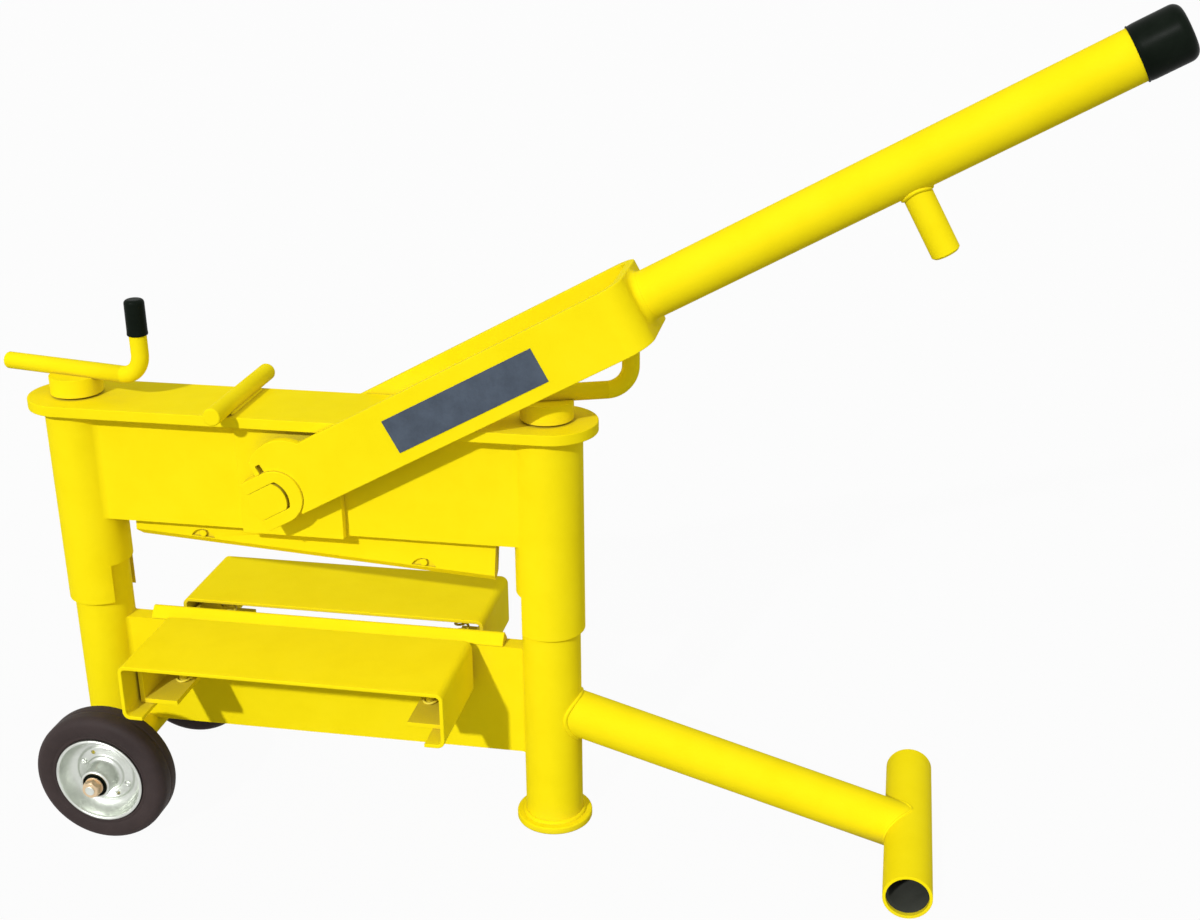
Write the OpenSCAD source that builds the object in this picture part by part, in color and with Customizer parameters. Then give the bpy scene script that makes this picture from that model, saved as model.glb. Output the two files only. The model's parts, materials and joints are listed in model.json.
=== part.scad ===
// Lever-operated splitter for paving stones and kerbs.
// Two posts carry a fixed lower blade. A yoke slides on the posts, set by two screw cranks,
// and a hand lever turns a cam in the yoke that presses the upper blade down on the stone.
// The origin is under the foot of the right-hand post; the machine extends along -X from it.

/* [Posts and beam] */
// Distance between the axes of the two posts
span = 493; // [440:1:560]
// Outer diameter of the posts
post_d = 60.3; // [56:0.1:66]
// Wall of the posts
post_wall = 4; // [3:0.1:6]
// Height of the top of the posts
post_top = 380; // [370:1:400]
// Length of the left post below the axle's axis
left_post_drop = 23; // [22:0.5:28]
// Diameter of the foot disc
foot_d = 80; // [72:1:110]
// Thickness of the foot disc
foot_t = 8; // [5:0.5:12]
// Thickness of the beam between the posts
beam_t = 20; // [16:0.5:24]
// Height of the beam's lower edge
beam_z = 80; // [76:1:90]
// Height of the beam from edge to edge
beam_h = 122; // [112:1:128]

/* [Blades] */
// Length of both blades
blade_len = 387; // [340:1:392]
// Offset of the blades from the middle of the posts
blade_shift = 3.5; // [-6:0.5:6]
// Sideways place of the upper blade relative to the middle between the posts
upper_shift = -3; // [-6:0.5:6]
// Height of the lower blade
low_blade_h = 11.7; // [9:0.1:16]
// Width of a blade's cutting edge
edge_w = 3; // [2:0.1:5]
// Distance between the two cutting edges in the middle
stone_gap = 73; // [66:1:80]
// Slope of the upper blade, which hangs freely on its pin
blade_tilt = 3.64; // [0:0.02:4]
// Height of the upper blade's holder
holder_h = 55; // [50:1:58]
// Thickness of the holder
holder_t = 16; // [14:0.5:18]
// Chamfer on the left end of the upper blade
blade_chamfer = 5; // [3:0.5:12]
// Distance of the blade bolts from the middle of the blade
bolt_reach = 119; // [100:1:130]

/* [Tables] */
// Length of each table along the blade
table_len = 336; // [320:1:344]
// Depth of each table, away from the blade
table_depth = 111.8; // [106:0.2:130]
// Height of each table's channel
table_h = 60; // [56:0.5:66]
// Thickness of the table sheet
table_t = 4; // [3:0.1:5]
// Width of the lips that hook under the arms
lip_w = 21; // [16:0.5:30]
// Gap between the beam and a table
table_gap = 12.4; // [11:0.1:16]
// Height of the table tops
table_top = 212.6; // [208:0.2:214]
// Width of each arm
arm_w = 40; // [36:1:46]
// Thickness of the arms
arm_t = 5; // [4:0.1:6]
// Length of each arm
arm_len = 96; // [90:1:100]
// Height of the side leg of an arm
arm_leg_h = 33; // [24:1:34]
// Diameter of the table springs
spring_d = 17; // [15:0.5:20]
// Thickness of the spring wire
spring_wire = 3; // [2:0.1:3.4]

/* [Yoke] */
// Outer diameter of the sleeves
sleeve_d = 70; // [68:0.1:74]
// Length of the sleeves
sleeve_len = 214.5; // [200:0.5:216]
// Height of the slot that lets a sleeve pass over the beam
slot_h = 42; // [40:0.5:50]
// Width of that slot
slot_w = 48; // [44:0.5:54]
// Thickness of the top plate
top_t = 11; // [8:0.5:14]
// Width of the top plate
top_w = 92; // [84:0.5:94]
// Reach of the top plate's round ends past the post axes
top_reach = 4.5; // [0:0.5:10]
// Height of the two side plates
side_h = 118; // [110:1:122]
// Thickness of the side plates
side_t = 8; // [6:0.5:9]
// Space between the side plates
side_gap = 30; // [29:0.5:31]
// Length of the bearing blocks along the yoke
block_len = 107; // [90:1:120]
// Thickness of the bearing blocks
block_t = 10; // [6:0.5:11]
// Gap between a bearing block and the top plate
block_gap = 3; // [1:0.5:6]
// Diameter of the lever's stop pin
stop_d = 18; // [14:0.5:22]
// Length of the stop pin
stop_len = 146; // [130:1:160]
// Distance of the stop pin from the lever's shaft, to the left
stop_reach = 45; // [44:0.5:50]

/* [Cranks] */
// Diameter of the screw spindles
spindle_d = 20; // [18:0.5:24]
// Length of spindle inside the post at the stored height
spindle_depth = 80; // [70:1:110]
// Height of the spindle nuts
nut_h = 20; // [16:1:28]
// Diameter of the crank hubs
hub_d = 53; // [44:0.5:60]
// Height of the crank hubs
hub_h = 19; // [16:0.5:25]
// Gap under the crank hubs
hub_gap = 2.2; // [0.4:0.1:4]
// Diameter of the crank rods
crank_d = 17.5; // [14:0.5:18.5]
// Gap between the right crank's grip and the end of the fork
grip_room = 5.5; // [5:0.5:16]
// Sideways offset of the right crank's grip behind the lever's middle
grip_side = 28; // [22:0.1:34]
// Bend radius of a crank rod
crank_bend = 23.5; // [16:0.5:28]
// Diameter of the crank grips
grip_d = 20.5; // [19.5:0.5:25]
// Length of the crank grips
grip_len = 37; // [32:1:46]
// Height of the crank rod's upright end
crank_rise = 80.5; // [74:0.5:84]
// Stored angle of the left crank
left_crank_turn = -10.6; // [-30:0.1:30]

/* [Lever] */
// Stored angle of the lever above level
lever_rest = 28.6; // [20:0.1:40]
// Diameter of the lever shaft
shaft_d = 40; // [38:0.5:42]
// Distance of the shaft from the middle of the yoke, to the left
shaft_shift = 24; // [10:1:40]
// Width across the flats at the ends of the shaft
shaft_flats = 29.6; // [28:0.1:31]
// Outer width of the fork
fork_w = 116; // [115:0.5:124]
// Thickness of the fork bar
fork_t = 10; // [8:0.2:10.4]
// Width of the fork bar
fork_bar = 65; // [60:0.5:70]
// Distance of the fork bar's lower edge below the shaft axis
fork_drop = 27; // [25:0.5:29]
// Distance from the shaft to the end of the fork
fork_len = 420; // [410:1:450]
// Outer bend radius of the fork
fork_bend = 26; // [14:0.5:30]
// Radius of the fork's head
head_r = 39.5; // [36:0.5:42]
// Half width of the jaws that grip the shaft
jaw_r = 27.5; // [25:0.5:30]
// Thickness of the jaws
jaw_t = 20; // [16:0.5:23]
// Diameter of the lever tube
tube_d = 48.3; // [42.4:0.1:50]
// Wall of the lever tube
tube_wall = 3.2; // [2.6:0.1:5]
// Length of the lever tube
tube_len = 516; // [460:1:560]
// Offset of the tube's axis above the shaft axis
tube_rise = 7.7; // [2:0.1:12]
// Length of the rubber end cap
cap_len = 46; // [36:1:60]
// Wall of the end cap
cap_wall = 1.4; // [1:0.1:3]
// Diameter of the rest peg
peg_d = 26.9; // [21.3:0.1:30]
// Reach of the rest peg below the shaft axis
peg_reach = 78; // [60:0.5:78]
// Distance of the rest peg from the shaft
peg_u = 685.5; // [640:0.5:720]
// Length of the name plate
label_len = 168; // [120:1:200]
// Height of the name plate
label_h = 35.5; // [25:0.5:45]
// Thickness of the name plate
label_t = 0.8; // [0.5:0.1:1.5]

/* [Outrigger and wheels] */
// Distance of the outrigger's foot from the right post
foot_reach = 372.3; // [330:0.1:420]
// Height of the leg's axis at the post
leg_z = 134.8; // [120:0.2:136]
// Diameter of the outrigger tubes
leg_d = 48.3; // [42.4:0.1:50]
// Wall of the outrigger tubes
leg_wall = 3.2; // [2.6:0.1:4]
// Length of the outrigger's foot
cross_len = 234; // [200:1:280]
// Diameter of the wheels
wheel_d = 143; // [136:1:152]
// Width of the tyres
wheel_w = 37; // [34:0.5:44]
// Distance of the wheel centres from the middle plane
wheel_y = 109; // [104:0.5:116]
// Distance of the axle from the left post's axis, to the right
axle_shift = 37.9; // [36:0.1:44]
// Diameter of the axle tube
axle_tube_d = 27; // [24:0.5:44]
// Diameter of the axle rod
axle_d = 10; // [8:0.5:12]
// Size across the flats of the axle nuts
nut_af = 17; // [15:0.5:19]
// Radius at which a tyre sits on its rim
rim_r = 47; // [45:0.5:52]

/* [Hidden] */
$fn = 96;

// Clearances: a running fit, a loose fit between bodies, and an overshoot for cuts
fit = 0.05;
loose = 0.3;
past = 1;

paint = [0.96, 0.8, 0.05];
steel = [0.72, 0.72, 0.72];
zinc = [0.78, 0.79, 0.8];
rubber = [0.09, 0.09, 0.1];
slate = [0.2, 0.23, 0.3];

// Plan positions
mid_x = -span / 2;
left_x = -span;
post_r = post_d / 2;
bore_r = post_r - post_wall;
sleeve_r = sleeve_d / 2;
shaft_x = mid_x - shaft_shift;
blade_x = mid_x + blade_shift;
upper_x = mid_x + upper_shift;

// Heights, stacked from the beam up to the top plate
beam_top = beam_z + beam_h;
ridge_z = beam_top + low_blade_h;
pin_rise = 41.2;              // from the upper cutting edge to the tilt pin
pin_drop = 42;                // from the shaft axis down to the tilt pin
shaft_drop = 70;              // from the top plate down to the shaft axis
tip_z = ridge_z + stone_gap;
pin_z = tip_z + pin_rise;
shaft_z = pin_z + pin_drop;
top_z = shaft_z + shaft_drop;
side_z = top_z - side_h;
sleeve_z = top_z - sleeve_len;
side_y = side_gap / 2;
block_y = side_y + side_t;

// Upper blade
tip_h = 8;                    // height of the blade below its holder
bevel_h = 7;
tongue_t = 10;
tongue_h = 18;
arch_r = 14;
arch_z = 2.5;
bolt_z = 4.2;
bolt_head_r = 3.8;
bolt_r = 2.4;
pin_r = 4;
lug_r = 6.5;
pocket_w = 88;                // room for the cam in the top of the holder
hanger_w = 36;
hanger_t = side_gap - 1;

// Cam: its face is an involute, so that the blade moves by the same amount for each degree
cam_rest = 30;                // from the shaft axis to the hanger at the stored angle
cam_rise = 8;                 // travel of the blade in mm for each radian of the lever
cam_t = side_gap - 2;
cam_from = -155;
cam_to = -38;
cam_step = 3;
cam_points = [for (a = [cam_from : cam_step : cam_to])
    (cam_rest + cam_rise * (a + 90) * PI / 180) * [cos(a), sin(a)] + cam_rise * [-sin(a), cos(a)]];

// Tables, arms and springs
table_z = table_top - table_h;
table_y = beam_t / 2 + table_gap;
arm_top = table_z + table_t + loose + arm_t;
arm_gap = 2.5;                // between an arm and the table's side
arm_x = table_len / 2 - table_t - arm_gap;  // outer face of each arm's side leg
spring_gap = 14.5;            // between a spring and its arm's side leg
spring_inset = 16.3;          // springs stand nearer the beam than a table's middle
spring_x = arm_x - arm_t - spring_d / 2 - spring_gap;
spring_y = table_y + table_depth / 2 - spring_inset;
spring_post_r = spring_d / 2 - spring_wire - 0.5;
spring_post_h = 16;
sheet_bend = 8;

// Cranks
hub_z = top_z + top_t + hub_gap;
crank_sink = 3.2;             // depth of the rod's groove in the hub
hub_skin = 6;                 // metal over the spindle's end
grip_end = 6;                 // rubber over the rod's end
crank_z = hub_z + hub_h + crank_d / 2 - crank_sink;
fork_face = (fork_len - fork_t) / cos(lever_rest);
fork_x = shaft_x + fork_face - (crank_z + crank_rise - shaft_z) * tan(lever_rest);
grip_x = fork_x - grip_room - grip_d / 2;
crank_reach = norm([grip_x, grip_side]);
right_crank_turn = atan2(grip_side, grip_x);
spindle_z = post_top - spindle_depth;

// Lever, in its own frame: u runs along the lever and the shaft is at the origin
cheek_y = fork_w / 2 - fork_t;
jaw_y = fork_w / 2 + 3 - jaw_t;
jaw_root_u = 9.9;
jaw_mouth_u = -16.3;
jaw_slot = shaft_flats + 0.4;
jaw_gap = 2.8;                // between the shaft and the root of the jaw's slot
head_cut_u = 1.8;             // where the head's disc is cut off behind the jaw
notch_u = 7;                  // small notch in the head, above the jaw
notch_w = 5.6;
notch_h = 9;
head_u = 29;
head_rise = 12.7;
label_u = 150;
label_rise = 3.75;
tube_end = fork_len + tube_len;

// Outrigger and wheels
leg_r = leg_d / 2;
leg_fall = leg_z - leg_r;
leg_len = sqrt(foot_reach * foot_reach + leg_fall * leg_fall);
leg_angle = atan2(leg_fall, foot_reach);
axle_x = left_x + axle_shift;
axle_z = wheel_d / 2;
left_post_z = axle_z - left_post_drop;
hub_half = wheel_w / 2 + 9;
washer_t = 2;
nut_t = 8;
rod_past = 1;
axle_face_y = wheel_y + hub_half + 0.2;
rivet_r = 26;                 // circle of the rim's two rivets and two open holes
rivet_turns = [155, 335];
hole_turns = [115, 295];
rim_hole_r = 2.4;
rim_head_r = 4;
rim_head_h = 2;
rim_wall = 3.6;
rim_lip = 0.8;                // the rim's lips stand out of the tyre by this
hub_r = 16;                   // the rim's hub, its chamfer and the flare that joins it to the web
hub_chamfer = 2;
flare_z = 9;
flare_r = 19;
flare_half = 4.5;
web_r = 21.5;
web_t = 4;

// ---------- helpers ----------

// A round bar along Y
module bar_y(r, y0, y1) {
    translate([0, y1, 0]) rotate([90, 0, 0]) cylinder(r = r, h = y1 - y0);
}

// A flat outline in X and Z, given thickness along Y
module slab_y(y0, y1) {
    translate([0, y1, 0]) rotate([90, 0, 0]) linear_extrude(y1 - y0) children();
}

// A rectangle from p to q with round corners
module round_box(p, q, r) {
    translate([p[0] + r, p[1]]) square([q[0] - p[0] - 2 * r, q[1] - p[1]]);
    translate([p[0], p[1] + r]) square([q[0] - p[0], q[1] - p[1] - 2 * r]);
    for (x = [p[0] + r, q[0] - r], y = [p[1] + r, q[1] - r])
        translate([x, y]) circle(r = r);
}

// A tube standing on Z
module tube(r_out, r_in, h) {
    difference() {
        cylinder(r = r_out, h = h);
        translate([0, 0, -past]) cylinder(r = r_in, h = h + 2 * past);
    }
}

// The frame of the lever at its stored angle
module on_lever() {
    translate([shaft_x, 0, shaft_z]) rotate([0, -lever_rest, 0]) children();
}

// The frame of the upper blade: the cutting edge is at the origin
module on_blade() {
    translate([upper_x, 0, tip_z]) rotate([0, blade_tilt, 0]) children();
}

// ---------- frame ----------

module axle_cut() {
    translate([axle_x, 0, axle_z]) bar_y(axle_tube_d / 2, -wheel_y, wheel_y);
}

module left_post() {
    color(paint) difference() {
        translate([left_x, 0, left_post_z]) tube(post_r, bore_r, post_top - left_post_z);
        axle_cut();
    }
}

module right_post() {
    color(paint) translate([0, 0, foot_t]) tube(post_r, bore_r, post_top - foot_t);
}

module foot_disc() {
    color(paint) cylinder(r = foot_d / 2, h = foot_t);
}

module beam() {
    color(paint) difference() {
        translate([left_x, -beam_t / 2, beam_z]) cube([span, beam_t, beam_h]);
        for (x = [left_x, 0])
            translate([x, 0, beam_z - past]) cylinder(r = post_r, h = beam_h + 2 * past);
        axle_cut();
    }
}

module lower_blade() {
    color(paint)
        translate([blade_x - blade_len / 2, 0, beam_top]) rotate([90, 0, 90]) linear_extrude(blade_len)
            polygon([[-beam_t / 2, 0], [beam_t / 2, 0], [beam_t / 2, 2],
                [edge_w / 2, low_blade_h], [-edge_w / 2, low_blade_h], [-beam_t / 2, 2]]);
}

// An angle bracket under a table, with a peg that holds the spring
module arm(side_x, side_y) {
    color(paint) translate([mid_x, 0, 0]) mirror([side_x < 0 ? 1 : 0, 0, 0])
        mirror([0, side_y < 0 ? 1 : 0, 0]) {
            translate([arm_x - arm_w, beam_t / 2, arm_top - arm_t]) cube([arm_w, arm_len, arm_t]);
            translate([arm_x - arm_t, beam_t / 2, arm_top]) cube([arm_t, arm_len, arm_leg_h]);
            translate([spring_x, spring_y, arm_top]) cylinder(r = spring_post_r, h = spring_post_h);
        }
}

// A ring in the top of a post, in which the spindle turns
module spindle_nut(x) {
    color(steel) translate([x, 0, post_top - nut_h]) tube(bore_r, spindle_d / 2 + fit, nut_h);
}

module outrigger_leg() {
    color(paint) difference() {
        translate([0, 0, leg_z]) rotate([0, 90 + leg_angle, 0]) tube(leg_r, leg_r - leg_wall, leg_len);
        cylinder(r = post_r, h = post_top);
        translate([foot_reach, 0, leg_r]) bar_y(leg_r, -cross_len / 2, cross_len / 2);
    }
}

module outrigger_foot() {
    color(paint) translate([foot_reach, cross_len / 2, leg_r]) rotate([90, 0, 0])
        tube(leg_r, leg_r - leg_wall, cross_len);
}

module axle_tube() {
    end_y = wheel_y - hub_half - 0.5;
    plug_t = 8;
    color(paint) translate([axle_x, 0, axle_z]) difference() {
        bar_y(axle_tube_d / 2, -end_y, end_y);
        bar_y(axle_tube_d / 2 - 3.2, plug_t - end_y, end_y - plug_t);
        bar_y(axle_d / 2, -wheel_y, wheel_y);
    }
}

module axle_rod() {
    end_y = axle_face_y + washer_t + nut_t + rod_past;
    color(zinc) translate([axle_x, 0, axle_z]) bar_y(axle_d / 2, -end_y, end_y);
}

module axle_nuts() {
    color([0.8, 0.62, 0.4]) for (side = [-1, 1])
        translate([axle_x, side * axle_face_y, axle_z]) rotate([-90 * side, 0, 0]) difference() {
            union() {
                cylinder(r = nut_af * 0.65, h = washer_t);
                translate([0, 0, washer_t]) cylinder(r = nut_af / sqrt(3), h = nut_t, $fn = 6);
            }
            translate([0, 0, -past]) cylinder(r = axle_d / 2, h = washer_t + nut_t + 2 * past);
        }
}

// ---------- yoke ----------

module top_plate() {
    end_x = span / 2 + top_reach;
    color(paint) translate([mid_x, 0, top_z]) difference() {
        union() {
            translate([-end_x, -top_w / 2, 0]) cube([2 * end_x, top_w, top_t]);
            for (x = [-end_x, end_x]) translate([x, 0, 0]) cylinder(r = top_w / 2, h = top_t);
        }
        for (x = [-span / 2, span / 2])
            translate([x, 0, -past]) cylinder(r = spindle_d / 2 + fit, h = top_t + 2 * past);
    }
}

module side_plate(side) {
    color(paint) difference() {
        translate([left_x, side > 0 ? side_y : -side_y - side_t, side_z]) cube([span, side_t, side_h]);
        for (x = [left_x, 0])
            translate([x, 0, side_z - past]) cylinder(r = sleeve_r, h = side_h + 2 * past);
        translate([shaft_x, 0, shaft_z]) bar_y(shaft_d / 2 + fit, -fork_w, fork_w);
    }
}

module bearing_block(side) {
    block_h = side_h - block_gap;
    color(paint) difference() {
        translate([shaft_x - block_len / 2 + 12.5, side > 0 ? block_y : -block_y - block_t, side_z])
            cube([block_len, block_t, block_h]);
        translate([shaft_x, 0, shaft_z]) bar_y(shaft_d / 2 + fit, -fork_w, fork_w);
    }
}

// A sleeve, with a slot on the side that faces the beam
module sleeve(x, side) {
    color(paint) translate([x, 0, sleeve_z]) difference() {
        tube(sleeve_r, post_r + loose, sleeve_len);
        translate([side > 0 ? 0 : -sleeve_d, -slot_w / 2, -past]) cube([sleeve_d, slot_w, slot_h + past]);
    }
}

module stop_pin() {
    color(paint) translate([shaft_x - stop_reach, 0, top_z + top_t + stop_d / 2])
        bar_y(stop_d / 2, -stop_len / 2, stop_len / 2);
}

// ---------- cranks ----------

module spindle(x) {
    color(steel) translate([x, 0, spindle_z])
        cylinder(r = spindle_d / 2, h = hub_z + hub_h - hub_skin - spindle_z);
}

module crank_hub(x, turn) {
    color(paint) translate([x, 0, 0]) rotate([0, 0, turn]) difference() {
        translate([0, 0, hub_z]) cylinder(r = hub_d / 2, h = hub_h);
        translate([0, 0, spindle_z]) cylinder(r = spindle_d / 2, h = hub_z + hub_h - hub_skin - spindle_z);
        translate([-hub_d, 0, crank_z]) rotate([0, 90, 0]) cylinder(r = crank_d / 2, h = 2 * hub_d);
    }
}

module crank_rod(x, turn) {
    color(paint) translate([x, 0, crank_z]) rotate([0, 0, turn]) {
        translate([-crank_reach, 0, 0]) rotate([0, 90, 0])
            cylinder(r = crank_d / 2, h = 2 * crank_reach - crank_bend);
        translate([crank_reach - crank_bend, 0, crank_bend]) rotate([90, 0, 0]) rotate([0, 0, -90])
            rotate_extrude(angle = 90) translate([crank_bend, 0]) circle(r = crank_d / 2);
        translate([crank_reach, 0, crank_bend]) cylinder(r = crank_d / 2, h = crank_rise - grip_end - crank_bend);
    }
}

module crank_grip(x, turn) {
    round_h = 3;
    color(rubber) translate([x, 0, crank_z]) rotate([0, 0, turn])
        translate([crank_reach, 0, crank_rise - grip_len]) difference() {
            union() {
                cylinder(r = grip_d / 2, h = grip_len - round_h);
                translate([0, 0, grip_len - round_h])
                    cylinder(r1 = grip_d / 2, r2 = grip_d / 2 - round_h, h = round_h);
            }
            translate([0, 0, -past]) cylinder(r = crank_d / 2, h = grip_len - grip_end + past);
        }
}

// ---------- lever ----------

module jaw_outline() {
    translate([jaw_mouth_u, -jaw_r]) square([jaw_root_u - jaw_mouth_u, 2 * jaw_r]);
    translate([jaw_root_u, 0]) circle(r = jaw_r);
}

module fork() {
    cheek_u = head_u - 5;
    color(paint) on_lever() difference() {
        union() {
            // the bent bar
            translate([0, 0, -fork_drop]) linear_extrude(fork_bar) difference() {
                round_box([cheek_u - fork_bend, -fork_w / 2], [fork_len, fork_w / 2], fork_bend);
                round_box([-head_r, -cheek_y], [fork_len - fork_t, cheek_y], fork_bend - fork_t);
                translate([-head_r, -fork_w]) square([head_r + cheek_u, 2 * fork_w]);
            }
            // the two heads
            for (y = [-fork_w / 2, cheek_y]) slab_y(y, y + fork_t) intersection() {
                translate([head_u, head_rise]) circle(r = head_r);
                translate([head_cut_u, 0]) square(3 * head_r);
            }
        }
        slab_y(-fork_w, fork_w) {
            jaw_outline();
            translate([-fork_w, -jaw_r]) square([fork_w, 2 * jaw_r]);
            translate([notch_u, 0]) square([notch_w, jaw_r + notch_h]);
        }
    }
}

module jaw(side) {
    y0 = side > 0 ? jaw_y : -jaw_y - jaw_t;
    color(paint) on_lever() slab_y(y0, y0 + jaw_t) difference() {
        jaw_outline();
        intersection() {
            translate([-jaw_r - past, -jaw_slot / 2]) square([2 * jaw_r, jaw_slot]);
            union() {
                circle(r = shaft_d / 2 + jaw_gap);
                translate([-2 * jaw_r, -jaw_r]) square([2 * jaw_r, 2 * jaw_r]);
            }
        }
    }
}

module cam_shaft() {
    end_y = jaw_y + jaw_t;
    color(steel) {
        difference() {
            translate([shaft_x, 0, shaft_z]) bar_y(shaft_d / 2, -end_y, end_y);
            on_lever() for (y = [-end_y - past, jaw_y - loose], z = [-shaft_flats / 2 - shaft_d, shaft_flats / 2])
                translate([-shaft_d, y, z]) cube([2 * shaft_d, jaw_t + loose + past, shaft_d]);
        }
        translate([shaft_x, 0, shaft_z]) slab_y(-cam_t / 2, cam_t / 2) polygon(concat(cam_points, [[0, 0]]));
    }
}

module lever_tube() {
    color(paint) on_lever() translate([fork_len, 0, tube_rise]) rotate([0, 90, 0])
        tube(tube_d / 2, tube_d / 2 - tube_wall, tube_len);
}

module end_cap() {
    cap_t = 6;
    cap_r = tube_d / 2 + cap_wall;
    round_h = 2.5;
    color(rubber) on_lever() translate([tube_end + cap_t - cap_len, 0, tube_rise]) rotate([0, 90, 0])
        difference() {
            union() {
                cylinder(r = cap_r, h = cap_len - round_h);
                translate([0, 0, cap_len - round_h]) cylinder(r1 = cap_r, r2 = cap_r - round_h, h = round_h);
            }
            translate([0, 0, -past]) cylinder(r = tube_d / 2, h = cap_len - cap_t + past);
        }
}

module rest_peg() {
    round_h = 2;
    color(paint) on_lever() difference() {
        translate([peg_u, 0, -peg_reach]) {
            cylinder(r1 = peg_d / 2 - round_h, r2 = peg_d / 2, h = round_h);
            translate([0, 0, round_h]) cylinder(r = peg_d / 2, h = peg_reach + tube_rise - round_h);
        }
        translate([fork_len, 0, tube_rise]) rotate([0, 90, 0]) cylinder(r = tube_d / 2, h = tube_len);
    }
}

module label_plate() {
    color(slate) on_lever() translate([label_u, -fork_w / 2 - label_t, label_rise - label_h / 2])
        cube([label_len, label_t, label_h]);
}

// ---------- upper blade ----------

// A clevis under the cam, from which the blade hangs on its pin
module hanger() {
    top = shaft_z - cam_rest - loose;
    bridge_z = pin_z + lug_r + loose;
    color(steel) translate([shaft_x, 0, 0]) difference() {
        translate([-hanger_w / 2, -hanger_t / 2, pin_z - lug_r]) cube([hanger_w, hanger_t, top - pin_z + lug_r]);
        translate([-hanger_w, -holder_t / 2 - loose, pin_z - hanger_w])
            cube([2 * hanger_w, holder_t + 2 * loose, bridge_z - pin_z + hanger_w]);
        translate([0, 0, pin_z]) bar_y(pin_r, -hanger_t, hanger_t);
    }
}

module tilt_pin() {
    color(steel) translate([shaft_x, 0, pin_z]) bar_y(pin_r, -hanger_t / 2, hanger_t / 2);
}

module blade_holder() {
    floor_z = pin_z - 10;
    y0 = -holder_t / 2;
    color(paint) difference() {
        union() {
            difference() {
                on_blade() translate([-blade_len / 2, y0, tip_h]) cube([blade_len, holder_t, holder_h]);
                translate([shaft_x - pocket_w / 2, -holder_t, floor_z]) cube([pocket_w, 2 * holder_t, holder_h * 2]);
            }
            translate([shaft_x, 0, pin_z]) bar_y(lug_r, y0, -y0);
            translate([shaft_x - lug_r, y0, floor_z - 3]) cube([2 * lug_r, holder_t, pin_z - floor_z + 3]);
        }
        translate([shaft_x, 0, pin_z]) bar_y(pin_r + fit, -holder_t, holder_t);
        on_blade() {
            // slot for the blade's tongue
            translate([-blade_len, -tongue_t / 2, tip_h - past])
                cube([2 * blade_len, tongue_t, tongue_h + past]);
            // arched recesses for the bolt heads
            for (x = [-bolt_reach, bolt_reach]) translate([x, 0, arch_z]) {
                bar_y(arch_r, y0 - past, -tongue_t / 2);
                bar_y(arch_r, tongue_t / 2, past - y0);
            }
            blade_end_cut();
        }
    }
}

// The sloping cut at the lower left corner
module blade_end_cut() {
    translate([-blade_len / 2, 0, 0]) rotate([0, 45, 0])
        cube([blade_chamfer * sqrt(2), 2 * holder_t, blade_chamfer * sqrt(2)], center = true);
}

module upper_blade() {
    half = holder_t / 2;
    color(paint) on_blade() difference() {
        translate([-blade_len / 2, 0, 0]) rotate([90, 0, 90]) linear_extrude(blade_len)
            polygon([[-edge_w / 2, 0], [edge_w / 2, 0], [half, bevel_h], [half, tip_h],
                [tongue_t / 2, tip_h], [tongue_t / 2, tip_h + tongue_h],
                [-tongue_t / 2, tip_h + tongue_h], [-tongue_t / 2, tip_h],
                [-half, tip_h], [-half, bevel_h]]);
        for (x = [-bolt_reach, bolt_reach]) translate([x, 0, tip_h + bolt_z]) bar_y(bolt_r, -holder_t, holder_t);
        blade_end_cut();
    }
}

module blade_bolts() {
    head_y = holder_t / 2 + 1;
    color(paint) on_blade() for (x = [-bolt_reach, bolt_reach]) translate([x, 0, tip_h + bolt_z]) {
        bar_y(bolt_r, -tongue_t / 2, tongue_t / 2);
        bar_y(bolt_head_r, -head_y, -tongue_t / 2);
        bar_y(bolt_head_r, tongue_t / 2, head_y);
    }
}

// ---------- tables ----------

// A channel that slides down on its springs; its lips hook under the arms
module table(side) {
    y0 = side > 0 ? table_y : -table_y - table_depth;
    half = table_len / 2;
    color(paint) translate([mid_x, 0, table_z]) slab_y(y0, y0 + table_depth) difference() {
        round_box([-half, 0], [half, table_h], sheet_bend);
        round_box([table_t - half, table_t], [half - table_t, table_h - table_t], sheet_bend - table_t);
        translate([lip_w - half, -past]) square([table_len - 2 * lip_w, table_t + 2 * past]);
    }
}

module spring(side_x, side_y) {
    color(steel) translate([mid_x + side_x * spring_x, side_y * spring_y, arm_top])
        tube(spring_d / 2, spring_d / 2 - spring_wire, table_top - table_t - arm_top);
}

// ---------- wheels ----------

// A wheel's own frame: the axle runs along Z, and +Z points away from the machine
module on_wheel(side) {
    translate([axle_x, side * wheel_y, axle_z]) rotate([-90 * side, 0, 0]) children();
}

module tyre(side) {
    wheel_r = wheel_d / 2;
    shoulder = 9.5;
    color(rubber) on_wheel(side) rotate_extrude() {
        translate([rim_r, -wheel_w / 2 + 4]) square([shoulder, wheel_w - 8]);
        difference() {
            round_box([rim_r, -wheel_w / 2], [wheel_r, wheel_w / 2], shoulder);
            translate([0, -wheel_w]) square([rim_r + shoulder / 2, 2 * wheel_w]);
        }
    }
}

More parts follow.
